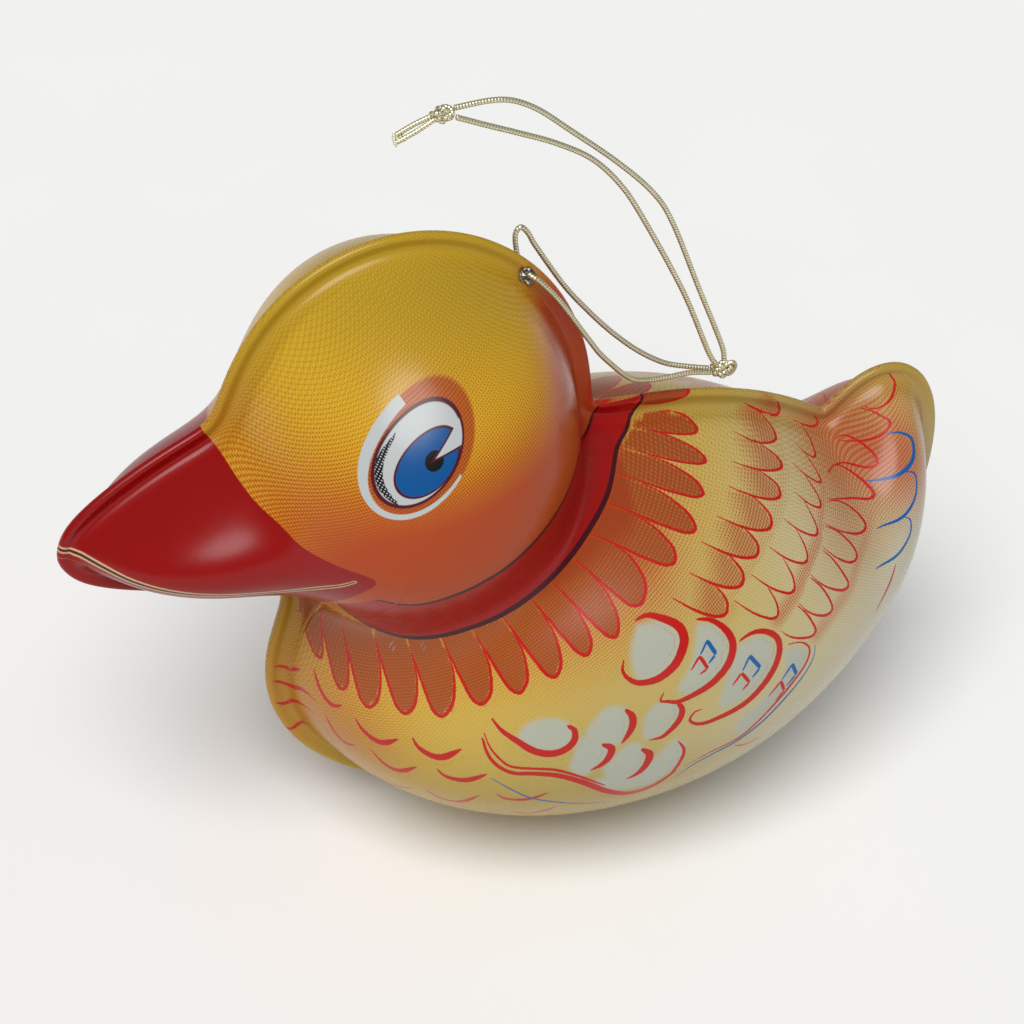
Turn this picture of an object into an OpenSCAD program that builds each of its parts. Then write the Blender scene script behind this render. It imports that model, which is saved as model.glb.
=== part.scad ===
// Hanging duck ornament: two stamped tin halves locked together by a folded
// rim, hung by a metallic cord that is knotted above the back and at its ends.
// X runs from the beak (-X) to the tail (+X), -Y is the duck's left, Z is up.

/* [Head] */
// Height of the head's centre above the lowest point of the rim
head_z = 48.7; // [46:0.1:50]
// Distance of the head's centre in front of the origin
head_x = 12.7; // [10:0.1:14]
// Length of the head dome, front to back
head_l = 35.6; // [34:0.2:38]
// Height of the head dome
head_h = 39.8; // [38:0.2:42]
// Depth of one head half, from the seam outward
head_w = 20.5; // [18:0.1:22]

/* [Body] */
// Height of the body's centre above the lowest point of the rim
body_z = 23.5; // [22:0.1:25]
// Length of the body dome
body_l = 66.6; // [62:0.2:70]
// Height of the body dome
body_h = 41.4; // [39:0.2:44]
// Depth of one body half, from the seam outward
body_w = 25; // [22:0.1:27]
// Rise of the body toward the tail, in degrees
body_tilt = 8; // [5:0.5:10]

/* [Beak and tail] */
// Length of the beak dome, most of it inside the head
beak_l = 31; // [29:0.2:33]
// Height of the beak dome at its middle
beak_h = 15.4; // [15:0.2:18]
// Depth of one beak half, from the seam outward
beak_w = 12; // [10:0.1:14]
// Height of the tail dome along its own axis
tail_h = 29; // [27:0.2:31]
// Width of the tail dome across its own axis
tail_l = 13.2; // [12:0.2:15]
// Depth of one tail half, from the seam outward
tail_w = 11; // [9:0.1:13]

/* [Tin] */
// Thickness of the sheet
tin_t = 0.3; // [0.25:0.05:0.35]
// Width of the flat seam band round each half, to the outside of the fold
rim_w = 2.4; // [2.3:0.1:2.8]
// Diameter of the hole pierced through the seam at the back of the head
hole_d = 1.4; // [1.2:0.1:1.6]

/* [Cord] */
// Diameter of the cord
cord_d = 0.6; // [0.5:0.05:0.7]
// Length of each knot
knot_l = 3; // [2.6:0.1:3.2]
// Thickness of each knot
knot_d = 2; // [1.8:0.1:2.2]

/* [Hidden] */
// One row each for the domes of the head, body, beak and tail: centre x,
// centre z, half length, half height, tilt, depth, taper toward its own +x
// end, and roundness (2 is an ellipse)
DOMES = [
    [-head_x, head_z, head_l / 2, head_h / 2, 0, head_w, 0, 2.3],
    [6.7, body_z, body_l / 2, body_h / 2, body_tilt, body_w, 0, 2.7],
    [-31.5, 43.4, beak_l / 2, beak_h / 2, 8, beak_w, 0.4, 2],
    [38.3, 28.2, tail_h / 2, tail_l / 2, 72, tail_w, 0, 2.2]
];
body_blend = 220;  // how softly the head runs into the body, in square mm
trim_blend = 120;  // how softly the beak and tail run into them at the edge
blend_rise = 0.35;  // softer by this much of the square of their height
wall = 6;  // takes the upright start off each dome's wall
foot = 5;  // height of the fillet between the wall and the seam band

// Chords across the side view, beak to tail: a point above and a point below
CHORDS = [
    [-45, 46, -45.6, 36.4], [-44, 47, -44.4, 36.6], [-39, 50, -37, 34.5],
    [-33.5, 53, -31, 33], [-31, 57, -27.5, 31.5], [-28, 62, -26.5, 29.5],
    [-22, 67.5, -27.5, 26], [-12, 70.5, -28, 21], [-3, 69, -27, 15],
    [3, 63, -24, 9], [6.5, 57, -19, 5.5], [8, 50, -12, 3], [9, 46, -4, 1],
    [15, 46.5, 5, 0], [24, 46, 14, 1.5], [31, 43.5, 22, 4], [34, 41.5, 28, 7],
    [39, 44, 34, 11], [43, 44, 38.5, 15], [44.6, 42, 43, 20],
    [45.4, 40, 45, 22]
];
stations = 60;
steps = 28;

hole_x = 0.3;
hole_z = 64.3;
nape_knot = [22.3, 0, 48.1];
end_knot = [-8.2, 0, 83.2];

// Cord routes, from knot to knot
NECK = [
    [20.9, -0.3, 48.2], [18.4, -0.5, 48.8], [15.7, -0.8, 49], [13.1, -1.1, 49.4],
    [11, -1.6, 50.5], [7.9, -2.2, 54], [6.3, -2.3, 56.4], [3.3, -1.9, 61.2],
    [1.4, -1.5, 63.6], [0.5, -1, 64.3], [0.3, 0, 64.3], [0.1, 1, 64.5], [-0.1, 1.6, 66],
    [-0.1, 1.9, 67.6], [0.5, 1.9, 68.3], [1.3, 1.9, 67.4], [2.1, 2, 65.8], [5.2, 2.2, 60.6],
    [7.9, 2.2, 57], [10.5, 2, 54], [13.3, 1.6, 51.4], [16.1, 1.1, 49.6], [18.7, 0.7, 48.8],
    [20.9, 0.4, 48.3]
];
HANGER_LEFT = [
    [21.5, -0.4, 49], [20.4, -0.5, 51], [17.2, -0.6, 59], [12.5, -0.6, 68.4],
    [10, -0.5, 72.6], [7, -0.4, 75.9], [3.2, -0.4, 78.3], [-0.7, -0.4, 80.1],
    [-3.7, -0.4, 81.4], [-6.9, -0.3, 82.8]
];
HANGER_RIGHT = [
    [22.7, 0.4, 49], [22.3, 0.5, 51], [19.4, 0.6, 58.5], [16.3, 0.6, 66.5],
    [14, 0.6, 70.4], [10, 0.5, 74.6], [5, 0.4, 79], [2.2, 0.4, 81.4],
    [0.2, 0.4, 82.7], [-1.6, 0.4, 83.4], [-3.7, 0.4, 83.6], [-6.9, 0.3, 83.5]
];
ENDS = [[-9.4, 0, 82.9], [-11.1, 0, 82.2], [-12.9, 0, 81.4]];

// Square of a dome's height at a point of the side view, below zero outside it
function dome_field(d, x, z) =
    let (
        c = cos(d[4]), s = sin(d[4]),
        u = ((x - d[0]) * c + (z - d[1]) * s) / d[2],
        v = ((z - d[1]) * c - (x - d[0]) * s) / d[3] / (1 + d[6] * max(-1.3, min(1.3, u))),
        top = pow(d[5] + wall, 2) - wall * wall
    )
    top * (1 - pow(u * u + v * v, d[7] / 2));

// Smooth highest value of a list
function soft_max(f, b) =
    let (m = max(f), e = [for (q = f) exp((q - m) / b)])
    m + b * ln(e * [for (q = e) 1]);

// All domes run together
function field(x, z) =
    let (
        f = [for (d = DOMES) dome_field(d, x, z)],
        g = [soft_max([f[0], f[1]], body_blend), f[2], f[3]]
    )
    soft_max(g, trim_blend + blend_rise * max(0, soft_max(g, trim_blend)));

// Height of the stamped face above the seam band
function height(x, z) =
    let (
        f = field(x, z),
        y = f / (sqrt(abs(f) + wall * wall) + wall)
    )
    y > foot ? y : y < -foot ? 0 : pow(y + foot, 2) / (4 * foot);

function unit(v) = v / norm(v);

// Direction out of the dome, in the side view
function outward(p) =
    let (h = 0.01)
    unit([
        field(p[0] - h, p[1]) - field(p[0] + h, p[1]),
        field(p[0], p[1] - h) - field(p[0], p[1] + h)
    ]);

// The dome's edge on the ray from p along d, by halving
function edge_on_ray(p, d, near, far, left) =
    left == 0 ? p + d * (near + far) / 2 :
    let (mid = (near + far) / 2, q = p + d * mid)
    field(q[0], q[1]) > 0 ?
        edge_on_ray(p, d, mid, far, left - 1) :
        edge_on_ray(p, d, near, mid, left - 1);

// First stretch of the ray on which the dome ends
function edge(p, d, t = 0) =
    let (q = p + d * (t + 0.5))
    t > 60 || field(q[0], q[1]) < 0 ? edge_on_ray(p, d, t, t + 0.5, 24) : edge(p, d, t + 0.5);

// Chord at the fraction s of the way from beak to tail, closer at both ends
function chord(s) =
    let (
        k = (s - 0.85 * sin(360 * s) / (2 * PI)) * (len(CHORDS) - 1),
        i = min(floor(k), len(CHORDS) - 2)
    )
    CHORDS[i] * (1 - k + i) + CHORDS[i + 1] * (k - i);

SPANS = [
    for (k = [0:stations - 1])
    let (
        c = chord(k / (stations - 1)),
        up = [c[0], c[1]], down = [c[2], c[3]],
        mid = (up + down) / 2, d = unit(up - down)
    )
    [edge(mid, d), edge(mid, -d)]
];
TIP = edge((SPANS[0][0] + SPANS[0][1]) / 2, unit([-1, -0.14]));
RUMP = edge((SPANS[stations - 1][0] + SPANS[stations - 1][1]) / 2, [1, 0]);
// The dome's edge as one closed loop
LOOP = concat(
    [TIP], [for (s = SPANS) s[0]], [RUMP],
    [for (k = [stations - 1:-1:0]) SPANS[k][1]]
);
around = len(LOOP);

// The point this far outside the dome's edge, reached in short straight steps
function beyond(p, out) =
    out <= 0.3 ? p + out * outward(p) : beyond(p + 0.3 * outward(p), out - 0.3);

// Points of the face and of the skin tin_t inside it, on every chord
function face_point(p) = [p[0], tin_t + height(p[0], p[1]), p[1]];
function face_normal(p) =
    let (
        h = 0.02,
        gx = (height(p[0] + h, p[1]) - height(p[0] - h, p[1])) / (2 * h),
        gz = (height(p[0], p[1] + h) - height(p[0], p[1] - h)) / (2 * h)
    )
    unit([-gx, 1, -gz]);
GRID = concat(
    [TIP], [RUMP],
    [
        for (s = SPANS, j = [0:steps - 1])
        let (v = (1 - cos(180 * j / (steps - 1))) / 2)
        s[0] * (1 - v) + s[1] * v
    ]
);
FACE = [for (p = GRID) face_point(p)];
SKIN = [for (p = GRID) face_point(p) - tin_t * face_normal(p)];

// One ring of points round the rim: distance outside the dome and side offset
function ring(out, y, filleted) = [
    for (i = [0:around - 1])
    let (p = beyond(LOOP[i], out))
    [p[0], y + (filleted ? height(p[0], p[1]) : 0), p[1]]
];

// Faces of the grid, of the strips between rings, and of a strip's join to it
function grid_at(k, j) = 2 + k * steps + j;
function grid_edge(i) =
    i == 0 ? 0 :
    i <= stations ? grid_at(i - 1, 0) :
    i == stations + 1 ? 1 :
    grid_at(2 * stations + 1 - i, steps - 1);
GRID_FACES = concat(
    [for (j = [0:steps - 2]) [0, grid_at(0, j), grid_at(0, j + 1)]],
    [for (j = [0:steps - 2]) [1, grid_at(stations - 1, j + 1), grid_at(stations - 1, j)]],
    [
        for (k = [0:stations - 2], j = [0:steps - 2])
        each [
            [grid_at(k, j), grid_at(k + 1, j), grid_at(k + 1, j + 1)],
            [grid_at(k, j), grid_at(k + 1, j + 1), grid_at(k, j + 1)]
        ]
    ]
);
function strip(a, b) = [
    for (i = [0:around - 1])
    let (n = (i + 1) % around)
    each [[a[i], b[i], b[n]], [a[i], b[n], a[n]]]
];
function flipped(faces) = [for (f = faces) [f[2], f[1], f[0]]];

// A stamped half on the +Y side, from its face out round the rim and back
module half(rim) {
    rings = [for (r = rim) ring(r[0], r[1], r[2])];
    count = len(GRID);
    first = 2 * count;
    edges = concat(
        [[for (i = [0:around - 1]) grid_edge(i)]],
        [for (r = [0:len(rim) - 1]) [for (i = [0:around - 1]) first + r * around + i]],
        [[for (i = [0:around - 1]) count + grid_edge(i)]]
    );
    polyhedron(
        points = concat(FACE, SKIN, [for (r = rings) each r]),
        faces = concat(
            GRID_FACES,
            flipped([for (f = GRID_FACES) [f[0] + count, f[1] + count, f[2] + count]]),
            [for (e = [0:len(edges) - 2]) each flipped(strip(edges[e], edges[e + 1]))]
        ),
        convexity = 6
    );
}

module cord_hole() {
    translate([hole_x, 0, hole_z])
    rotate([90, 0, 0])
    cylinder(d = hole_d, h = 4, center = true, $fn = 24);
}

// The left half's rim is folded round the right half's seam band
module left_shell() {
    t = tin_t;
    color("goldenrod")
    difference() {
        mirror([0, 1, 0])
        half([
            [0.35, t, true], [0.75, t, true], [1.1, t, false], [rim_w - 0.4, t, false],
            [rim_w - 0.1, t / 2, false], [rim_w, -t / 2, false], [rim_w - 0.1, -1.5 * t, false],
            [rim_w - 0.4, -2 * t, false], [1.3, -2 * t, false], [1.3, -t, false],
            [rim_w - 0.45, -t, false], [rim_w - 0.35, -t / 2, false], [rim_w - 0.45, 0, false],
            [1.1, 0, false], [0.75, 0, true], [0.35, 0, true]
        ]);
        cord_hole();
    }
}

module right_shell() {
    t = tin_t;
    color("goldenrod")
    difference() {
        half([
            [0.35, t, true], [0.75, t, true], [1.1, t, false], [rim_w - 0.6, t, false],
            [rim_w - 0.6, 0, false], [1.1, 0, false], [0.75, 0, true], [0.35, 0, true]
        ]);
        cord_hole();
    }
}

// Tube of 8 sides along a list of points
module cord(path, d = cord_d) {
    n = len(path);
    function along(i) = unit(path[min(i + 1, n - 1)] - path[max(i - 1, 0)]);
    function side(i) = unit(cross(along(i), abs(along(i)[1]) > 0.8 ? [0, 0, 1] : [0, 1, 0]));
    points = [
        for (i = [0:n - 1], a = [0:45:315])
        path[i] + d / 2 * (side(i) * cos(a) + cross(along(i), side(i)) * sin(a))
    ];
    sides = [
        for (i = [0:n - 2], a = [0:7])
        let (b = (a + 1) % 8)
        each [
            [i * 8 + a, i * 8 + b, i * 8 + 8 + b],
            [i * 8 + a, i * 8 + 8 + b, i * 8 + 8 + a]
        ]
    ];
    polyhedron(
        points,
        concat(sides, [[for (a = [7:-1:0]) a], [for (a = [0:7]) (n - 1) * 8 + a]]),
        convexity = 6
    );
}

// Rounded barrel along X
module knot(at) {
    translate(at)
    rotate([0, 90, 0])
    rotate_extrude($fn = 32)
    polygon([
        for (a = [-90:15:90])
        [knot_d / 2 * cos(a), knot_l / 2 * sin(a)]
    ]);
}

module neck_loop() color("khaki") cord(NECK);
module nape_knot() color("khaki") knot(nape_knot);
module hanger_left() color("khaki") cord(HANGER_LEFT);
module hanger_right() color("khaki") cord(HANGER_RIGHT);
module end_knot() color("khaki") knot(end_knot);
module cord_ends() color("khaki") cord(ENDS, 1.6 * cord_d);

left_shell();
right_shell();
neck_loop();
nape_knot();
hanger_left();
hanger_right();
end_knot();
cord_ends();
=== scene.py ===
import math

import bpy
import numpy as np
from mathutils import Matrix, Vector


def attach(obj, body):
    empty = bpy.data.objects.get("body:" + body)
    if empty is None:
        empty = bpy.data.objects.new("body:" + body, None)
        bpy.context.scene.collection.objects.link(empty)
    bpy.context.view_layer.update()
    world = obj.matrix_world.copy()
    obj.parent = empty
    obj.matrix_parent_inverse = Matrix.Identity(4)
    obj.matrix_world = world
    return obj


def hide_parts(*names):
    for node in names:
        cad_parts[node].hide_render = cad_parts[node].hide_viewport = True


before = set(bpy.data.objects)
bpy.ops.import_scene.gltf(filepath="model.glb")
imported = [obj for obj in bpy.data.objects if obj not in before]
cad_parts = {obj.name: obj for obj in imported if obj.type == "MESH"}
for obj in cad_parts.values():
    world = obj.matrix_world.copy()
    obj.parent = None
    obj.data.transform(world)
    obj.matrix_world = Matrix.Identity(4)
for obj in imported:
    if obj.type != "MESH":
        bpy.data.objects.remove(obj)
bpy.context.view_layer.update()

mm = 0.001  # everything below is in millimetres until it goes into a mesh


def toLinear(code):
    # each channel c of an sRGB hex code becomes ((c + 0.055) / 1.055) ** 2.4, or c / 12.92 near black
    channels = [int(code[i:i + 2], 16) / 255 for i in (1, 3, 5)]
    linear = [c / 12.92 if c <= 0.04045 else ((c + 0.055) / 1.055) ** 2.4 for c in channels]
    return (*linear, 1.0)


def add(tree, kind, inputs=(), **settings):
    # one node: settings are its own properties; inputs are numbers, colours or the sockets to link from, in
    # order or by name; it gives back the node's outputs
    made = tree.nodes.new("ShaderNode" + kind)
    for name, value in settings.items():
        setattr(made, name, value)
    for name, value in inputs.items() if isinstance(inputs, dict) else enumerate(inputs):
        if isinstance(value, bpy.types.NodeSocket):
            tree.links.new(value, made.inputs[name])
        else:
            made.inputs[name].default_value = value
    return made.outputs


def newMaterial(name):
    made = bpy.data.materials.new(name)
    made.use_nodes = True
    made.node_tree.nodes.clear()
    return made, made.node_tree


def finishMaterial(tree, shader):
    add(tree, "OutputMaterial", {"Surface": shader[0]})


def addMesh(name, points, faces, materials, faceMaterial=None):
    # points in mm, turned to metres here
    mesh = bpy.data.meshes.new(name)
    mesh.from_pydata((np.asarray(points) * mm).tolist(), [], faces)
    for material in materials:
        mesh.materials.append(material)
    if faceMaterial is not None:
        mesh.polygons.foreach_set("material_index", np.asarray(faceMaterial, dtype=np.int32))
    mesh.polygons.foreach_set("use_smooth", np.ones(len(mesh.polygons), dtype=bool))
    mesh.update()
    made = bpy.data.objects.new(name, mesh)
    bpy.context.scene.collection.objects.link(made)
    return made


def smoothCurve(points, count):
    # Catmull-Rom: between two points the curve is the cubic whose slope at each point
    # is half the step from the point before to the point after; then evenly spaced by length
    p = np.asarray(points, dtype=float)
    p = np.vstack([2 * p[0] - p[1], p, 2 * p[-1] - p[-2]])
    t = np.linspace(0, len(p) - 3 - 1e-9, 24 * len(p))
    i = t.astype(int)
    f = (t - i)[:, None]
    a, b, c, d = p[i], p[i + 1], p[i + 2], p[i + 3]
    q = 0.5 * (2 * b + (c - a) * f + (2 * a - 5 * b + 4 * c - d) * f**2 + (3 * b - a - 3 * c + d) * f**3)
    run = np.r_[0, np.cumsum(np.linalg.norm(np.diff(q, axis=0), axis=1))]
    even = np.linspace(0, run[-1], count)
    return np.stack([np.interp(even, run, q[:, k]) for k in range(q.shape[1])], axis=1)


def lengthOf(points):
    return float(np.linalg.norm(np.diff(points, axis=0), axis=1).sum())


camera = {
    "azimuth": -20.0,
    "elevation": 35.0,
    "distance": 300.0,
    "target": (-1.15, 0.0, 35.4),
    "lens": 100.2,  # on a 36 mm sensor
}


def placeCamera():
    a, e = math.radians(camera["azimuth"]), math.radians(camera["elevation"])
    back = Vector((math.sin(a) * math.cos(e), -math.cos(a) * math.cos(e), math.sin(e)))
    data = bpy.data.cameras.new("camera")
    data.lens = camera["lens"]
    data.sensor_width = 36.0
    data.clip_start = 0.01
    made = bpy.data.objects.new("camera", data)
    made.location = (Vector(camera["target"]) + back * camera["distance"]) * mm
    made.rotation_mode = "QUATERNION"
    made.rotation_quaternion = (-back).to_track_quat("-Z", "Y")
    bpy.context.scene.collection.objects.link(made)
    bpy.context.scene.camera = made


placeCamera()
print("camera placed")


cord = {
    "diameter": 0.6,
    "step": 0.07,  # between rings along the cord
    "sides": 10,
    "wrapPitch": 0.32,  # one turn of the foil; real foil is nearer 0.2, drawn coarser so that it shows
    "wrapDepth": 0.05,  # how far each turn of foil stands proud
    "neck": [
        (20.9, -0.3, 48.2), (18.4, -0.5, 48.8), (15.7, -0.8, 49), (13.1, -1.1, 49.4),
        (11, -1.6, 50.5), (7.9, -2.2, 54), (6.3, -2.3, 56.4), (3.3, -1.9, 61.2),
        (1.4, -1.5, 63.6), (0.5, -1, 64.3), (0.3, 0, 64.3), (0.1, 1, 64.5),
        (-0.1, 1.6, 66), (-0.1, 1.9, 67.6), (0.5, 1.9, 68.3), (1.3, 1.9, 67.4),
        (2.1, 2, 65.8), (5.2, 2.2, 60.6), (7.9, 2.2, 57), (10.5, 2, 54),
        (13.3, 1.6, 51.4), (16.1, 1.1, 49.6), (18.7, 0.7, 48.8), (20.9, 0.4, 48.3),
    ],
    "hangerLeft": [
        (21.5, -0.4, 49), (20.4, -0.5, 51), (17.2, -0.6, 59), (12.5, -0.6, 68.4), (10, -0.5, 72.6),
        (7, -0.4, 75.9), (3.2, -0.4, 78.3), (-0.7, -0.4, 80.1), (-3.7, -0.4, 81.4), (-6.9, -0.3, 82.8),
    ],
    "hangerRight": [
        (22.7, 0.4, 49), (22.3, 0.5, 51), (19.4, 0.6, 58.5), (16.3, 0.6, 66.5), (14, 0.6, 70.4),
        (10, 0.5, 74.6), (5, 0.4, 79), (2.2, 0.4, 81.4), (0.2, 0.4, 82.7), (-1.6, 0.4, 83.4),
        (-3.7, 0.4, 83.6), (-6.9, 0.3, 83.5),
    ],
    "napeKnot": (22.3, 0, 48.1),
    "endKnot": (-8.2, 0, 83.2),
    "endTip": (-12.9, 0, 81.4),
}


def foilMaterial():
    # metallic gift cord: a narrow foil strip wound round a thread core; each turn glints and the joints
    # between turns are dark
    material, tree = newMaterial("foil_wound_cord")
    wrap = add(tree, "UVMap", uv_map="wrap")
    turn = add(tree, "SeparateXYZ", {"Vector": wrap[0]})
    # U runs once per turn of foil, so its distance from the middle of a turn marks the joint
    part = add(tree, "Math", {0: turn[0]}, operation="FRACT")
    off = add(tree, "Math", {0: part[0], 1: 0.5}, operation="SUBTRACT")
    away = add(tree, "Math", {0: off[0]}, operation="ABSOLUTE")
    joint = add(tree, "MapRange", {"Value": away[0], "From Min": 0.3, "From Max": 0.5},
                interpolation_type="SMOOTHSTEP")
    place = add(tree, "TexCoord")
    dull = add(tree, "TexNoise", {"Vector": place["Object"], "Scale": 900.0, "Detail": 3.0})
    tone = add(tree, "Mix", {"Factor": dull[0], 6: toLinear("#F4EFD2"),
                                       7: toLinear("#CFCBAA")}, data_type="RGBA")
    colour = add(tree, "Mix", {"Factor": joint[0], 6: tone[2],
                                         7: toLinear("#8E8A66")}, data_type="RGBA")
    rough = add(tree, "MapRange", {"Value": dull[0], "To Min": 0.22, "To Max": 0.5})
    shader = add(tree, "BsdfPrincipled", {"Base Color": colour[2], "Metallic": 0.85,
                                                    "Roughness": rough[0]})
    finishMaterial(tree, shader)
    return material


foilCord = foilMaterial()


def windTube(name, route, radius, material, closed=False, spread=None):
    # a tube along a path: at length s and angle a the radius is r (1 - depth * |sin((a - 2 pi s /
    # pitch) / 2)|^6),
    # so one shallow groove winds round it; the frame is carried along so that it never twists suddenly
    count = max(8, int(lengthOf(route) / cord["step"]))
    line = smoothCurve(route, count)
    along = np.gradient(line, axis=0)
    if closed:
        along[0] = along[-1] = line[1] - line[-2]
    along /= np.linalg.norm(along, axis=1, keepdims=True)
    side = np.zeros_like(line)
    start = np.cross(along[0], (0.13, 1.0, 0.07))
    side[0] = start / np.linalg.norm(start)
    for k in range(1, count):  # one step per ring
        v = side[k - 1] - along[k] * np.dot(side[k - 1], along[k])
        side[k] = v / np.linalg.norm(v)
    up = np.cross(along, side)
    run = np.linspace(0, lengthOf(line), count)
    sides = cord["sides"]
    angle = np.arange(sides) * 2 * math.pi / sides
    phase = angle[None, :] / (2 * math.pi) + run[:, None] / cord["wrapPitch"]
    groove = np.abs(np.cos(math.pi * phase)) ** 6
    r = radius * np.ones(count) if spread is None else radius * spread(run / run[-1])
    r = r[:, None] * (1 - cord["wrapDepth"] / radius * groove)
    points = (line[:, None, :] + (np.cos(angle)[None, :] * r)[..., None] * side[:, None, :]
              + (np.sin(angle)[None, :] * r)[..., None] * up[:, None, :]).reshape(-1, 3)
    i, j = np.meshgrid(np.arange(count - 1), np.arange(sides), indexing="ij")
    n = (j + 1) % sides
    faces = np.stack([i * sides + j, i * sides + n, (i + 1) * sides + n, (i + 1) * sides + j],
                     axis=-1).reshape(-1, 4).tolist()
    if closed:
        last = (count - 1) * sides
        faces += [[last + k, last + (k + 1) % sides, (k + 1) % sides, k] for k in range(sides)]
    else:
        faces.append(list(range(sides))[::-1])
        faces.append([(count - 1) * sides + k for k in range(sides)])
    made = addMesh(name, points, faces, [material])
    # the UV map: U counts turns of foil, V runs once round
    loops = np.empty(len(made.data.loops), dtype=np.int32)
    made.data.loops.foreach_get("vertex_index", loops)
    ring, spot = loops // sides, loops % sides
    turns = run[ring] / cord["wrapPitch"] + spot / sides
    uv = np.stack([turns, spot / sides], axis=1)
    made.data.uv_layers.new(name="wrap").data.foreach_set("uv", uv.ravel().astype(np.float32))
    return made, line


def addCord(name, node, route, **facts):
    piece, line = windTube(name, route, cord["diameter"] / 2, foilCord)
    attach(piece, "hanger")
    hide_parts(node)
    path = smoothCurve(line, 36) * mm
    return piece, path, lengthOf(line) * mm


def knotPiece(name, parts):
    # several tubes joined into one piece
    objects = [windTube(f"{name}_{k}", route, radius, foilCord, closed)[0]
               for k, (route, radius, closed) in enumerate(parts)]
    with bpy.context.temp_override(active_object=objects[0], selected_editable_objects=objects,
                                   selected_objects=objects):
        bpy.ops.object.join()
    objects[0].name = name
    objects[0].data.name = name
    return objects[0]


def trefoil(centre, size, thick, turn, count=60):
    # x = sin t + 2 sin 2t and y = cos t - 2 cos 2t give three lobes, and sin 3t lifts the strands
    # over each other
    t = np.linspace(0, 2 * math.pi, count)
    u = np.sin(t) + 2 * np.sin(2 * t)
    v = np.cos(t) - 2 * np.cos(2 * t)
    w = -np.sin(3 * t)
    c, s = math.cos(turn), math.sin(turn)
    flat = np.stack([size[0] * (c * u - s * v), thick * w, size[1] * (s * u + c * v)], axis=1)
    return np.asarray(centre) + flat


def makeKnots():
    r = cord["diameter"] / 2
    nape = np.asarray(cord["napeKnot"], dtype=float)
    ear = np.array([(0, -0.2, 0.4), (0.9, -0.4, 0.9), (1.4, -0.2, 0.3), (1.1, 0.1, -0.7), (0.3, 0.2, -0.8),
                    (-0.5, 0.2, -0.4)])
    dip = np.array([(-1.0, 0.3, 0.5), (-0.8, 0.6, -0.5), (-0.1, 0.5, -0.9), (0.4, 0.3, -0.2),
                    (0.2, 0.2, 0.6)])
    napePiece = knotPiece("nape_knot_cord", [
        (trefoil(nape, (0.34, 0.24), 0.42, 0.3), r * 0.95, True),
        (trefoil(nape + (-0.2, 0, 0.05), (0.3, 0.2), 0.3, 1.4), r * 0.95, True),
        (smoothCurve(nape + ear, 30), r * 0.9, False),
        (smoothCurve(nape + dip, 30), r * 0.9, False),
    ])
    end = np.asarray(cord["endKnot"], dtype=float)
    endPiece = knotPiece("end_knot_cord", [
        (trefoil(end, (0.36, 0.22), 0.42, 0.2), r * 0.95, True),
        (trefoil(end + (0.1, 0, 0), (0.3, 0.22), 0.32, 1.3), r * 0.95, True),
    ])
    tip = np.asarray(cord["endTip"], dtype=float)
    first = end + (-0.9, 0, -0.2)
    tails = []
    for lift, swing in ((0.25, 0.28), (-0.25, -0.28)):
        tails.append((smoothCurve([first + (0, swing * 0.6, lift * 0.6), (first + tip) / 2 + (0, swing, lift),
                                   tip + (0.4 * lift, swing, lift)], 20), r * 0.9, False))
    for k in range(7):  # frayed threads at the cut ends
        fan = (k - 3) / 3
        tails.append((smoothCurve([tip + (0.9, 0.2 * fan, 0.2 * fan), tip + (0.1, 0.3 * fan, 0.35 * fan),
                                   tip + (-0.35 + 0.2 * fan * fan, 0.45 * fan, 0.5 * fan - 0.1)], 12),
                      0.09, False))
    tailPiece = knotPiece("cord_ends_cord", tails)
    for piece, node in ((napePiece, "nape_knot"), (endPiece, "end_knot"), (tailPiece, "cord_ends")):
        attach(piece, "hanger")
        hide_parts(node)
    return napePiece, endPiece, tailPiece


napeKnot, endKnot, cordEnds = makeKnots()
neckLoop, neckPath, neckLength = addCord("neck_loop_cord", "neck_loop", cord["neck"])
leftRun, leftPath, leftLength = addCord("hanger_left_cord", "hanger_left", cord["hangerLeft"])
rightRun, rightPath, rightLength = addCord("hanger_right_cord", "hanger_right", cord["hangerRight"])
print("cord wound:", round(neckLength, 4), round(leftLength, 4), round(rightLength, 4))


domes = [  # centre x, centre z, half length, half height, tilt in degrees, depth, taper, roundness
    (-12.7, 48.7, 17.8, 19.9, 0, 20.5, 0, 2.3),  # head
    (6.7, 23.5, 33.3, 20.7, 8, 25, 0, 2.7),  # body
    (-31.5, 43.4, 15.5, 7.7, 8, 12, 0.4, 2),  # beak
    (38.3, 28.2, 14.5, 6.6, 72, 11, 0, 2.2),  # tail
]
half = {
    "tin": 0.3,
    "wall": 6.0,  # how steeply a dome rises from its edge
    "foot": 5.0,  # height over which it fillets into the flange
    "bodyBlend": 220.0,
    "trimBlend": 120.0,
    "blendRise": 0.35,
    "stations": 286,
    "capStations": 14,
    "steps": 240,
    "skinSteps": 16,
}
chords = np.array([  # each runs from the upper edge side to the lower: x, z, x, z
    (-45, 46, -45.6, 36.4), (-44, 47, -44.4, 36.6), (-39, 50, -37, 34.5), (-33.5, 53, -31, 33),
    (-31, 57, -27.5, 31.5), (-28, 62, -26.5, 29.5), (-22, 67.5, -27.5, 26), (-12, 70.5, -28, 21),
    (-3, 69, -27, 15), (3, 63, -24, 9), (6.5, 57, -19, 5.5), (8, 50, -12, 3), (9, 46, -4, 1),
    (15, 46.5, 5, 0), (24, 46, 14, 1.5), (31, 43.5, 22, 4), (34, 41.5, 28, 7), (39, 44, 34, 11),
    (43, 44, 38.5, 15), (44.6, 42, 43, 20), (45.4, 40, 45, 22),
])


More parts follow.
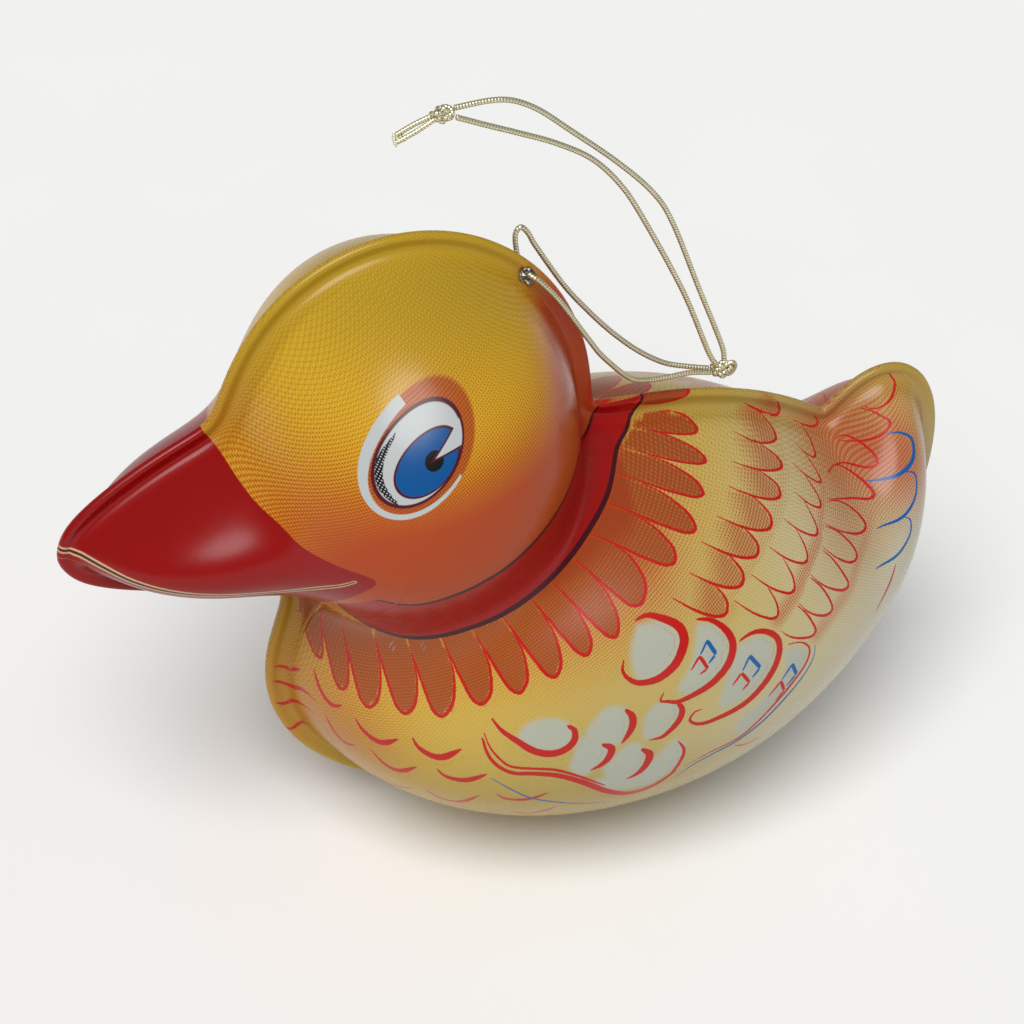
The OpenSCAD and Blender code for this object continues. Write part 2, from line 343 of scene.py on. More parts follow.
def softMax(values, blend):
    # the larger of several values, rounded where they meet: m + b ln(sum(exp((v - m) / b)))
    top = np.max(values, axis=0)
    return top + blend * np.log(sum(np.exp((v - top) / blend) for v in values))


def fieldOf(x, z):
    # each dome is (depth + wall)^2 - wall^2 times 1 - rho^roundness, rho being 1 on its edge;
    # head and body melt together first, then the beak and the tail
    each = []
    for cx, cz, long, tall, tilt, depth, taper, roundness in domes:
        c, s = math.cos(math.radians(tilt)), math.sin(math.radians(tilt))
        u = ((x - cx) * c + (z - cz) * s) / long
        v = ((z - cz) * c - (x - cx) * s) / tall / (1 + taper * np.clip(u, -1.3, 1.3))
        full = (depth + half["wall"]) ** 2 - half["wall"] ** 2
        each.append(full * (1 - (u * u + v * v) ** (roundness / 2)))
    parts = [softMax(each[:2], half["bodyBlend"]), each[2], each[3]]
    level = np.maximum(0, softMax(parts, half["trimBlend"]))
    return softMax(parts, half["trimBlend"] + half["blendRise"] * level)


def heightOf(x, z):
    # h = sqrt(f + wall^2) - wall, filleted into the flange: (h + foot)^2 / (4 foot) below the foot height
    f = fieldOf(x, z)
    h = f / (np.sqrt(np.abs(f) + half["wall"] ** 2) + half["wall"])
    foot = half["foot"]
    return np.where(h > foot, h, np.where(h < -foot, 0, (h + foot) ** 2 / (4 * foot)))


def uphill(x, z, reach=0.01):
    g = np.stack([fieldOf(x + reach, z) - fieldOf(x - reach, z),
                  fieldOf(x, z + reach) - fieldOf(x, z - reach)],
                 axis=-1)
    return g / np.linalg.norm(g, axis=-1, keepdims=True)


def edgeFrom(middle, way):
    # the place along each ray where the field falls to zero, by halving
    low, high = np.zeros(len(middle)), np.full(len(middle), 0.2)
    for _ in range(200):  # walk out until outside
        out = fieldOf(middle[:, 0] + way[:, 0] * high, middle[:, 1] + way[:, 1] * high) < 0
        low = np.where(out, low, high)
        high = np.where(out, high, high + 0.25)
    for _ in range(30):
        mid = (low + high) / 2
        inside = fieldOf(middle[:, 0] + way[:, 0] * mid, middle[:, 1] + way[:, 1] * mid) > 0
        low, high = np.where(inside, mid, low), np.where(inside, high, mid)
    return middle + way * ((low + high) / 2)[:, None]


def layChords():
    # chords across the outline, close together and evenly spaced by the way their middles move,
    # with shorter and shorter ones towards the beak's tip and the tail's edge
    k = np.linspace(0, len(chords) - 1, 800)
    rows = np.stack([np.interp(k, np.arange(len(chords)), chords[:, c]) for c in range(4)], axis=1)
    move = np.maximum(np.linalg.norm(np.diff(rows[:, :2], axis=0), axis=1),
                      np.linalg.norm(np.diff(rows[:, 2:], axis=0), axis=1))
    run = np.r_[0, np.cumsum(move)]
    even = np.linspace(0, run[-1], half["stations"])
    rows = np.stack([np.interp(even, run, rows[:, c]) for c in range(4)], axis=1)
    middle = (rows[:, :2] + rows[:, 2:]) / 2
    way = rows[:, :2] - rows[:, 2:]
    way /= np.linalg.norm(way, axis=1, keepdims=True)
    top, low = edgeFrom(middle, way), edgeFrom(middle, -way)
    middle = (top + low) / 2
    tip = edgeFrom(middle[:1], np.array([[-0.99, -0.14]]))
    rump = edgeFrom(middle[-1:], np.array([[1.0, 0.0]]))
    ease = 1 - np.linspace(1, 0, half["capStations"] + 2)[1:-1] ** 2
    before = middle[:1] + (tip - middle[:1]) * ease[::-1, None]
    after = middle[-1:] + (rump - middle[-1:]) * ease[:, None]
    middle = np.vstack([before, middle, after])
    way = np.vstack([np.repeat(way[:1], len(ease), 0), way, np.repeat(way[-1:], len(ease), 0)])
    return edgeFrom(middle, way), edgeFrom(middle, -way), tip[0], rump[0]


def spread(low, top, steps):
    # along each chord the steps are equal in length over the dome, not in plan
    t = np.linspace(0, 1, 400)[None, :, None]
    fine = low[:, None, :] * (1 - t) + top[:, None, :] * t
    h = heightOf(fine[..., 0], fine[..., 1])
    solid = np.concatenate([fine, h[..., None]], axis=2)
    run = np.concatenate([np.zeros((len(low), 1)),
                          np.cumsum(np.linalg.norm(np.diff(solid, axis=1), axis=2), axis=1)], axis=1)
    even = np.linspace(0, 1, steps)
    at = np.array([np.interp(even * r[-1], r, t[0, :, 0]) for r in run])[..., None]
    return low[:, None, :] * (1 - at) + top[:, None, :] * at


def walkOut(loop, reaches):
    # rings outside the outline, each a small step further down the field's slope
    place, done, rings = loop.copy(), 0.0, {0.0: loop}
    for reach in sorted(set(reaches)):
        while done < reach - 1e-6:
            move = min(0.1, reach - done)
            place = place - uphill(place[:, 0], place[:, 1]) * move
            done += move
        rings[reach] = place.copy()
    return rings


# each rim is a profile of (distance outside the dome, height from the middle plane), carried round the
# outline;
# up to 1 mm out the dome's own fillet is added
leftRim = [
    (0.3, 0.3), (0.6, 0.3), (0.9, 0.3), (1.2, 0.32), (1.45, 0.37), (1.7, 0.44), (1.95, 0.46), (2.18, 0.37),
    (2.34, 0.16), (2.4, -0.12), (2.34, -0.4), (2.15, -0.57), (1.85, -0.62), (1.5, -0.61), (1.33, -0.55),
    (1.3, -0.45), (1.36, -0.33), (1.8, -0.31), (1.98, -0.15), (1.8, 0.0), (1.1, 0.0), (0.6, 0.0), (0.3, 0.0),
]
rightRim = [
    (0.3, 0.3), (0.6, 0.3), (0.9, 0.3), (1.2, 0.3), (1.6, 0.3), (1.75, 0.26), (1.8, 0.15), (1.75, 0.04),
    (1.6, 0.0), (1.1, 0.0), (0.6, 0.0), (0.3, 0.0),
]


def shellMesh(rim, mirror):
    # outer face = height over the plan grid, then the rim's profile, then the inner skin one tin
    # thickness below
    top, low, tip, rump = layChords()
    n, s, s2 = len(top), half["steps"], half["skinSteps"]
    tin = half["tin"]
    face = spread(low, top, s).reshape(-1, 2)
    flat = np.vstack([face, tip, rump])
    outer = np.column_stack([flat[:, 0], heightOf(flat[:, 0], flat[:, 1]) + tin, flat[:, 1]])
    loop = np.vstack([tip, top, rump, low[::-1]])
    rings = walkOut(loop, [r for r, _ in rim])
    ringPoints = []
    for reach, level in rim:
        p = rings[reach]
        lift = heightOf(p[:, 0], p[:, 1]) if reach < 1 else 0
        ringPoints.append(np.column_stack([p[:, 0], np.full(len(p), level) + lift, p[:, 1]]))
    skinFlat = np.vstack([spread(low, top, s2).reshape(-1, 2), tip, rump])
    x, z = skinFlat.T
    h = heightOf(x, z)
    gx = (heightOf(x + 0.02, z) - heightOf(x - 0.02, z)) / 0.04
    gz = (heightOf(x, z + 0.02) - heightOf(x, z - 0.02)) / 0.04
    long = np.sqrt(1 + gx**2 + gz**2)
    skin = np.column_stack([x + gx / long * tin, h + tin - tin / long, z + gz / long * tin])
    points = np.vstack([outer] + ringPoints + [skin])

    def gridFaces(base, steps, turned):
        i, j = np.meshgrid(np.arange(n - 1), np.arange(steps - 1), indexing="ij")
        a = base + i * steps + j
        quads = np.stack([a, a + steps, a + steps + 1, a + 1], axis=-1).reshape(-1, 4)
        k = np.arange(steps - 1)
        first = base + n * steps
        caps = np.vstack([np.column_stack([np.full(steps - 1, first), base + k, base + k + 1]),
                          np.column_stack([np.full(steps - 1, first + 1), base + (n - 1) * steps + k + 1,
                                           base + (n - 1) * steps + k])])
        if turned:
            quads, caps = quads[:, ::-1], caps[:, ::-1]
        return quads.tolist() + caps.tolist()

    def loopOf(base, steps):
        rows = np.arange(n)
        return np.concatenate([[base + n * steps], base + rows * steps + steps - 1,
                               [base + n * steps + 1], base + rows[::-1] * steps])

    loops = [loopOf(0, s)]
    ringBase = n * s + 2
    size = 2 * n + 2
    loops += [ringBase + r * size + np.arange(size) for r in range(len(rim))]
    skinBase = ringBase + len(rim) * size
    loops.append(loopOf(skinBase, s2))
    faces = gridFaces(0, s, False)
    kinds = [0] * len(faces)
    for a, b in zip(loops[:-1], loops[1:]):
        strip = np.stack([a, np.roll(a, -1), np.roll(b, -1), b], axis=1)
        faces += strip.tolist()
        kinds += [0] * size
    kinds[-size:] = [1] * size
    inner = gridFaces(skinBase, s2, True)
    faces += inner
    kinds += [1] * len(inner)
    if mirror:  # the left half faces -Y
        points[:, 1] *= -1
    return points, faces, kinds


def turnOut(points, faces):
    # if the mesh's signed volume is negative, its faces look inwards and are all turned round
    p = np.asarray(points)
    total = 0.0
    for size in (3, 4):
        f = np.array([q for q in faces if len(q) == size])
        if len(f):
            for k in range(1, size - 1):
                total += np.einsum("ij,ij->i", p[f[:, 0]], np.cross(p[f[:, k]], p[f[:, k + 1]])).sum()
    return faces if total > 0 else [q[::-1] for q in faces]


# Everything is drawn in plan, x then z in mm, on the side of the dome, and measured over the surface.

artwork = {
    "near": 0.7,  # ink is only looked for this close to a line's edge
    "plates": {"red": 4, "blue": 3, "dark": 2, "mouth": 1, "hatch": 1},
}


def makeStroke(points, width, start=0.15, end=0.15, fat=0.6, count=None):
    # a brush line: its half width rises from start * width to width at the share fat of its length,
    # then falls
    count = count or max(12, 6 * len(points))
    line = smoothCurve(points, count)
    t = np.linspace(0, 1, count)
    rise = np.clip(t / fat, 0, 1)
    fall = np.clip((1 - t) / (1 - fat), 0, 1) if fat < 1 else np.ones(count)
    ease = lambda q: q * (2 - q)
    w = width * np.minimum(start + (1 - start) * ease(rise), end + (1 - end) * ease(fall))
    return {"line": line, "width": w}


def onSurface(flat):
    return np.column_stack([flat[:, 0], heightOf(flat[:, 0], flat[:, 1]) + half["tin"], flat[:, 1]])


def inkOf(points, strokes):
    # for every point, the signed distance to the nearest line's middle and that line's half width there
    away = np.full(len(points), 9.0)
    wide = np.full(len(points), -1.0)
    best = np.full(len(points), -9.0)
    for stroke in strokes:
        line = onSurface(stroke["line"])
        reach = stroke["width"].max() + artwork["near"]
        low, high = line.min(axis=0) - reach, line.max(axis=0) + reach
        ok = np.nonzero(np.all((points >= low) & (points <= high), axis=1))[0]
        if len(ok) == 0:
            continue
        p = points[ok]
        a, b = line[:-1], line[1:]
        seg = b - a
        size = np.maximum((seg**2).sum(axis=1), 1e-12)
        t = np.clip(((p[:, None, :] - a[None]) * seg[None]).sum(axis=2) / size, 0, 1)
        gap = p[:, None, :] - (a[None] + t[..., None] * seg[None])
        dist = np.linalg.norm(gap, axis=2)
        nearest = dist.argmin(axis=1)
        rows = np.arange(len(ok))
        d, tt, g = dist[rows, nearest], t[rows, nearest], gap[rows, nearest]
        tangent = np.gradient(line, axis=0)
        way = tangent[nearest] * (1 - tt)[:, None] + tangent[nearest + 1] * tt[:, None]
        side = np.sign(way[:, 0] * g[:, 2] - way[:, 2] * g[:, 0])
        w = stroke["width"][nearest] * (1 - tt) + stroke["width"][nearest + 1] * tt
        last = ((nearest == 0) & (tt <= 0)) | ((nearest == len(seg) - 1) & (tt >= 1))
        past = np.abs((way * g).sum(axis=1)) / np.maximum(np.linalg.norm(way, axis=1), 1e-9)
        w = np.where(last, w - 2 * past, w)  # a line stops at its ends
        score = w - d
        win = score > best[ok]
        win &= d < w + artwork["near"]
        chosen = ok[win]
        best[chosen] = score[win]
        away[chosen] = (side * d)[win]
        wide[chosen] = w[win]
    return away, wide


def shareOut(strokes, count):
    # spreads the lines over plates, each on the plate whose nearest line is furthest off
    sheets = [[] for _ in range(count)]
    for stroke in strokes:
        gaps = []
        for sheet in sheets:
            others = np.vstack([other["line"] for other in sheet]) if sheet else np.full((1, 2), 999.0)
            gaps.append(np.linalg.norm(stroke["line"][:, None] - others[None], axis=2).min())
        sheets[int(np.argmax(gaps))].append(stroke)
    return sheets


def areaOf(points, outlines, edge=2.0):
    # signed distance to the nearest outline, positive inside it, cut off at edge
    value = np.full(len(points), -edge)
    for outline in outlines:
        flat = np.vstack([outline, outline[:1]])
        line = onSurface(flat)
        low, high = line.min(axis=0) - edge, line.max(axis=0) + edge
        high[1] = max(high[1], 99)
        ok = np.nonzero(np.all((points >= low) & (points <= high), axis=1))[0]
        if len(ok) == 0:
            continue
        p = points[ok]
        a, b = line[:-1], line[1:]
        seg = b - a
        size = np.maximum((seg**2).sum(axis=1), 1e-12)
        t = np.clip(((p[:, None, :] - a[None]) * seg[None]).sum(axis=2) / size, 0, 1)
        d = np.linalg.norm(p[:, None, :] - (a[None] + t[..., None] * seg[None]), axis=2).min(axis=1)
        x, z = p[:, None, 0], p[:, None, 2]
        ax, az, bx, bz = flat[:-1, 0], flat[:-1, 1], flat[1:, 0], flat[1:, 1]
        crosses = ((az > z) != (bz > z)) & (x < (bx - ax) * (z - az) / np.where(bz == az, 1e-9, bz - az) + ax)
        inside = crosses.sum(axis=1) % 2 == 1
        value[ok] = np.maximum(value[ok], np.where(inside, np.minimum(d, edge), -np.minimum(d, edge)))
    return value


def glowOf(points, spots):
    # soft patches of a tint: each is amount * exp(-(distance / size)^2), added up to 1 at most
    value = np.zeros(len(points))
    for x, z, long, tall, amount in spots:
        value += amount * np.exp(-((points[:, 0] - x) / long) ** 2 - ((points[:, 2] - z) / tall) ** 2)
    return np.clip(value, 0, 1)


def washOf(points, bands):
    # a tint that fades either side of a line: amount * exp(-(distance / size)^2)
    value = np.zeros(len(points))
    for line, size, amount in bands:
        place = onSurface(smoothCurve(line, 40))
        nearLow, nearHigh = place.min(axis=0) - 3 * size, place.max(axis=0) + 3 * size
        ok = np.nonzero(np.all((points > nearLow) & (points < nearHigh), axis=1))[0]
        d = np.linalg.norm(points[ok][:, None, :] - place[None], axis=2).min(axis=1)
        value[ok] = np.maximum(value[ok], amount * np.exp(-(d / size) ** 2))
    return value


# Rows of feathers. In each row feather k starts on the root line and ends on the tip line. Its outline is one
# brush stroke in shares of (root to tip, towards the feather before): along the lower edge, round the
# tip and back.
# The fill is the row's share of red dots, and comes in over the share fade of its length.
feathers = [
    {
        "name": "ruff",
        "roots": [(11.5, 44.5), (9.4, 44.1), (7.5, 43.4), (5.2, 42.4), (2.2, 41.2), (-0.5, 40.2),
                  (-3.5, 39.2),
                  (-6, 38.3), (-9, 37), (-12, 35.9), (-14.8, 34.8), (-17.6, 33.8), (-20.2, 33.7),
                  (-22.3, 33.5),
                  (-23.5, 33), (-24.8, 32)],
        "tips": [(18.2, 43.6), (17.3, 42.7), (15.2, 41.6), (12.8, 40.1), (9.4, 38.6), (4.8, 36.3),
                 (1.7, 34.1),
                 (-1.5, 32.8), (-4.9, 31), (-8.5, 29.5), (-12.1, 28.1), (-15.7, 26.1), (-18.8, 25.3),
                 (-21.6, 24.3), (-23.4, 24.6), (-24.6, 26.2)],
        "count": 16,
        "outline": [(0, 0), (0.45, -0.08), (0.86, -0.11), (0.97, -0.05), (1.0, 0.09), (0.87, 0.44),
                    (0.57, 0.78),
                    (0.3, 0.92)],
        "width": 0.19,
        "fill": 0.8,
        "fade": 0.0,
    },
    {
        "name": "second",
        "roots": [(24.8, 43.6), (22, 42.8), (20, 42.2), (18.3, 41.5), (15.7, 40.5), (13, 39.5), (10.7, 37.9),
                  (8.2, 36.5)],
        "tips": [(28.8, 41.3), (27, 41), (25.9, 40.3), (23.9, 39.5), (21.3, 38.5), (18.6, 37.4), (16, 35.9),
                 (13.5, 34.1)],
        "count": 8,
        "outline": [(0, 0), (0.49, -0.14), (0.79, -0.15), (0.96, -0.07), (1.0, 0.08), (0.91, 0.39),
                    (0.73, 0.64),
                    (0.44, 0.92)],
        "width": 0.19,
        "fill": 0.5,
        "fade": 0.55,
    },
    {
        "name": "third",
        "roots": [(30.7, 40.3), (29.2, 40), (27.4, 39.9), (25.9, 39.1), (23.2, 38.5), (20.3, 37.6),
                  (17.4, 36.4),
                  (14.7, 35.1)],
        "tips": [(33.4, 38.9), (31.3, 38.5), (30.2, 37.8), (28.7, 37.1), (26.9, 36.1), (24.4, 35.1),
                 (21.9, 33.6),
                 (19.3, 32.2)],
        "count": 8,
        "outline": [(0, 0), (0.49, -0.13), (0.85, -0.12), (0.99, -0.02), (0.98, 0.15), (0.79, 0.48),
                    (0.38, 0.9)],
        "width": 0.15,
        "fill": 0.0,
        "fade": 0.0,
    },
    {
        "name": "fourth",
        "roots": [(38.5, 40.9), (35.1, 37.9), (31.8, 37.5), (29.9, 37), (28.2, 36.3), (27, 35.2),
                  (24.5, 34.1),
                  (22.3, 32.5), (19.6, 30.9)],
        "tips": [(42.4, 42.4), (40.3, 40.1), (37.8, 37.3), (36.4, 35.1), (34.1, 33.4), (31.6, 32.2),
                 (29.5, 30.8),
                 (26.6, 29.8), (24.1, 28.7)],
        "count": 9,
        "outline": [(0, 0), (0.25, -0.16), (0.53, -0.25), (0.86, -0.23), (1.0, -0.05), (0.93, 0.15),
                    (0.7, 0.42),
                    (0.34, 0.74), (0.02, 0.9)],
        "width": 0.16,
        "fill": 0.0,
        "fade": 0.0,
    },
]


def lineShares(points, count):
    # the points themselves when there is one per feather, or evenly spaced places on their curve
    p = np.asarray(points, dtype=float)
    return p if len(p) == count else smoothCurve(p, count)


def featherRow(row):
    roots, tips = lineShares(row["roots"], row["count"]), lineShares(row["tips"], row["count"])
    rootStep = np.vstack([roots[:1] - roots[1:2], roots[:-1] - roots[1:]])
    tipStep = np.vstack([tips[:1] - tips[1:2], tips[:-1] - tips[1:]])
    shape = np.asarray(row["outline"])
    strokes, fills = [], []
    for root, tip, low, high in zip(roots, tips, rootStep, tipStep):
        u, v = shape[:, :1], shape[:, 1:]
        line = root + u * (tip - root) + v * ((1 - u) * low + u * high)
        strokes.append(makeStroke(line, row["width"], 0.2, 0.3, 0.55, 40))
        fills.append((np.vstack([smoothCurve(line, 30), root + 0.9 * low]), root, tip, row["fill"],
                      row["fade"]))
    return strokes, fills


collar = {
    "inner": [(8.3, 46.9), (7.4, 45.6), (6.6, 45.4), (5.4, 45.7), (3.9, 46.9), (2, 48.8), (0.2, 48.4),
              (-2.3, 47.4),
              (-5.4, 45.9), (-9.5, 44), (-14.7, 42.2), (-18.4, 41.3), (-21.8, 41.9)],
    "outer": [(13.3, 46.9), (12.3, 45.4), (11.1, 44.6), (8.3, 44), (5.2, 42.7), (1.1, 41.2), (-4.8, 38.8),
              (-8.9, 37.1), (-12.4, 35.8), (-15.7, 34.4), (-18.6, 33.6), (-21.4, 34.1), (-23, 36.6),
              (-24.6, 39.6)],
    "edge": 0.27,
}
beakPaint = {
    "border": [(-34.6, 55.5), (-33.6, 53.1), (-32.2, 51.1), (-31, 49.7), (-29.4, 48.6), (-27.8, 47.1),
               (-25.2, 46), (-22.5, 45.2), (-22, 44.4), (-23.2, 42.6), (-25, 39.8), (-26.5, 37)],
    "mouth": [(-50.5, 42.9), (-49, 42.5), (-47.3, 42), (-45.1, 41.8), (-43.3, 41.6), (-39.9, 41.3),
              (-34, 40.9),
              (-29.5, 41.1), (-25.6, 42.9), (-23.6, 44.4)],
}
wing = {
    "scallops": [  # each is one brush line with its half width
        ([(4, 35.2), (5.3, 35.5), (6.7, 35.1), (8.2, 34.3), (8.7, 33.2), (8.2, 31.8), (7.1, 30.5),
          (5.3, 29.6),
          (3.4, 29.6), (2.2, 30.4), (1.9, 31.2), (2.2, 32.2)], 0.5),
        ([(10.3, 34.4), (11.9, 34), (13.3, 32.8), (13.9, 31.3), (13.3, 29.5), (11.6, 27.9), (9.6, 27),
          (7.6, 26.5), (6.5, 26.8), (5.6, 27.1), (6.1, 28.1)], 0.45),
        ([(14.5, 31.3), (16.1, 31.7), (17.7, 31.4), (19.1, 30.3), (19.3, 28.7), (18.4, 26.8), (16.7, 25),
          (14.8, 23.8), (12.2, 23.1), (10.2, 22.9), (8.9, 23.7), (9.4, 24.7), (10.4, 24.8)], 0.42),
        ([(20.2, 29.1), (22.1, 28.6), (23.2, 27.4), (22.8, 25.9), (21.2, 24.3), (19.1, 22.4), (16.7, 20.3),
          (14.7, 19), (11.4, 18.2), (8.5, 17)], 0.18),
    ],
    "fills": [
        [(4.3, 34.6), (6.4, 34.7), (8, 33.6), (8.2, 32.3), (7.4, 31.2), (5.6, 30.2), (3.8, 30.1), (3.2, 31.2),
         (3.4, 33)],
        [(10.5, 33.7), (12, 33.3), (13.2, 31.6), (12.7, 29.7), (11, 28.2), (9, 27.4), (7.9, 28), (9.4, 30.4)],
        [(14.7, 30.7), (16.4, 31), (18, 30.2), (18.3, 28.5), (17.2, 26.6), (15.4, 25.2), (12.6, 24.6),
         (13.2, 27.4)],
        [(20.4, 28.3), (22, 27.9), (22.6, 26.9), (22, 25.5), (20, 23.6), (17.6, 21.4), (15.2, 20), (15, 21.6),
         (19.6, 25)],
        [(4.2, 25.4), (5.2, 26.5), (6.9, 26.2), (7.3, 24.9), (6, 23.2), (4.2, 23)],
        [(-8.9, 24.6), (-7.8, 26.1), (-6.1, 26.6), (-4.4, 26.2), (-3.8, 24.7), (-4.5, 23.6), (-6.2, 23.3)],
        [(-2.1, 24.8), (-0.2, 27), (1.6, 26.9), (2.1, 25.2), (1.3, 23.2), (-0.6, 22.8)],
        [(-3.6, 20.6), (-2.6, 24), (-0.6, 23.8), (-0.1, 21.9), (-1.6, 19.9), (-3, 19.2)],
        [(-0.1, 19.7), (2.3, 22.2), (3.8, 21.2), (3.9, 19.3), (2.3, 17.6), (0.6, 17.6)],
        [(-1, 18), (1, 17.8), (4.4, 18.6), (7.4, 21.4), (8.3, 19.1), (6.8, 17), (4.6, 15.7), (2, 15.9),
         (0, 16.8)],
    ],
    "lines": [  # points, half width, start, end, where it is widest
        ([(7.5, 26.4), (8, 25.4), (7.7, 24.1), (6.6, 22.9), (5.8, 22.4), (4.4, 22.4)], 0.38, 0.5, 0.1, 0.3),
        ([(1.9, 26.9), (2.6, 25.9), (2.6, 24.7), (2.1, 23.6), (1.4, 22.6)], 0.42, 0.4, 0.1, 0.4),
        ([(-0.6, 23.1), (0.4, 22.4), (0.2, 21.2), (-0.6, 20.3), (-1.8, 19.7)], 0.42, 0.4, 0.1, 0.35),
        ([(3.7, 21.4), (4.6, 20.5), (4.4, 19.2), (3.6, 18), (2.2, 17.3)], 0.45, 0.4, 0.1, 0.35),
        ([(7.7, 21.4), (8.5, 19.8), (8.1, 17.9), (7.2, 16)], 0.22, 0.3, 0.6, 0.6),
        ([(-11.3, 27), (-10.4, 25.6), (-9, 24.4), (-7.5, 23.2), (-5.9, 22.7), (-4.5, 23), (-3.5, 24),
          (-3.4, 25.3),
          (-4.1, 26)], 0.45, 0.2, 0.5, 0.6),
        ([(-12.2, 24.6), (-11.8, 22.7), (-10.8, 21.1), (-9.3, 20.2), (-7.4, 20.1), (-4.8, 19.5), (-2.1, 17.9),
          (0.5, 15.8), (2.9, 14.5), (4.9, 14.6), (6.5, 15.5), (8, 17)], 0.42, 0.3, 0.4, 0.75),
        ([(-12.1, 25.4), (-11.5, 23.4), (-10.5, 21.9), (-9.5, 21.1), (-7.4, 20.8), (-5.2, 20.4), (-2.5, 18.9),
          (0.2, 16.9)], 0.2, 0.3, 0.4, 0.6),
        ([(14.4, 18), (16.4, 17.2), (18.2, 17.6)], 0.12, 0.3, 0.3, 0.5),
        ([(37.2, 29), (35.9, 27.2), (33.5, 25.4)], 0.2, 0.3, 0.3, 0.5),
    ],
    "diamonds": [  # corners: apex, right, bottom, left, the roof's lower end and the two leg ends
        [(11.1, 32.3), (11.9, 30.8), (10.9, 29.9), (10.1, 31), (10.9, 29.5), (8.9, 29.6), (9.8, 29)],
        [(15.7, 29.5), (16.9, 27.8), (15.8, 26.8), (14.7, 27.9), (15.6, 26.5), (13.4, 26.5), (14.6, 25.6)],
        [(20.9, 26.6), (21.5, 25.1), (20.1, 24), (19.5, 25.1), (20, 23.7), (17.9, 23.6), (18.8, 22.5)],
    ],
    "blueLines": [
        ([(24, 27.5), (23.7, 25.9), (22.1, 24), (20, 22.2), (17.6, 20.2), (14.7, 18.6), (12.3, 17.9),
          (9.9, 17),
          (7.8, 15.3)], 0.17),
        ([(-11.6, 19.5), (-9.5, 17.7), (-7.3, 16), (-4.7, 14.9), (-1.8, 13.9), (1.7, 13.2)], 0.13),
        ([(39.5, 39.4), (40.9, 39.5), (42.1, 38.8), (41.7, 37.5), (40.1, 36.7), (37.9, 36.2), (36, 35.9)],
         0.24),
        ([(40.1, 36.7), (41.4, 36.1), (41, 34.3), (38.9, 33), (35.2, 32.8)], 0.18),
        ([(38.9, 33), (39.8, 32.3), (39.5, 30.8), (37.4, 29.7), (33.8, 30)], 0.18),
        ([(9.9, 15.7), (10.3, 15.8)], 0.3),
    ],
}
breastMarks = [  # short brush crescents: points and half width
    ([(-24.9, 24.8), (-24.7, 22.9), (-24.1, 22.1), (-23.3, 22.9)], 0.3),
    ([(-24.6, 20.4), (-23.9, 18.4), (-23.1, 17.7), (-22.5, 18.4)], 0.28),
    ([(-24.6, 18.2), (-23.6, 15.8), (-22.5, 14), (-21.8, 14.2)], 0.16),
    ([(-22.6, 22.5), (-21.9, 21.2), (-20.7, 20.8), (-19.3, 22.2)], 0.36),
    ([(-21.5, 19.2), (-20.4, 17.7), (-19.2, 17.4), (-17.8, 19.2)], 0.33),
    ([(-21.1, 14.6), (-19.8, 13), (-18.9, 12.8), (-17.6, 14.4)], 0.25),
    ([(-18.3, 23.1), (-17.6, 21.8), (-16, 21.3), (-14, 23)], 0.42),
    ([(-16.3, 19.7), (-15.4, 18.7), (-13.7, 18.6), (-11.7, 20)], 0.38),
    ([(-16.8, 15.4), (-15.4, 13.9), (-13.7, 13.9), (-12.2, 16.2)], 0.3),
    ([(-13.6, 11.5), (-12.4, 10.2), (-11, 10.1), (-9.5, 11.6)], 0.22),
    ([(-10.9, 16.9), (-9.6, 15.8), (-7.5, 15.8), (-5.6, 17)], 0.28),
    ([(-8.6, 12.9), (-7.2, 11.9), (-5.8, 12.4), (-4.2, 14)], 0.24),
    ([(-28, 22.2), (-26.6, 22.1), (-25.7, 23.3)], 0.25),
    ([(-28.2, 20.4), (-26.7, 19.8), (-25.8, 20.9), (-25, 21)], 0.28),
    ([(-28.1, 17.5), (-26.8, 17), (-25.8, 18.5), (-25.1, 18.8)], 0.28),
    ([(-27.3, 13.7), (-26.2, 13.5), (-24.8, 14.4), (-24.2, 14.9)], 0.26),
]
napeFeathers = [  # small feathers by the neck: root, tip, half thickness
    ((7.4, 47.4), (7.9, 51.2), 0.5),
    ((8, 46.9), (11, 49.3), 0.8),
    ((12, 46.3), (18.7, 46.6), 0.75),
]
eyeLines = {
    "hatch": [(-18.7, 59.4), (-20.4, 57.3), (-20.9, 55.6), (-20.6, 54.4), (-19.7, 53.4)],
}
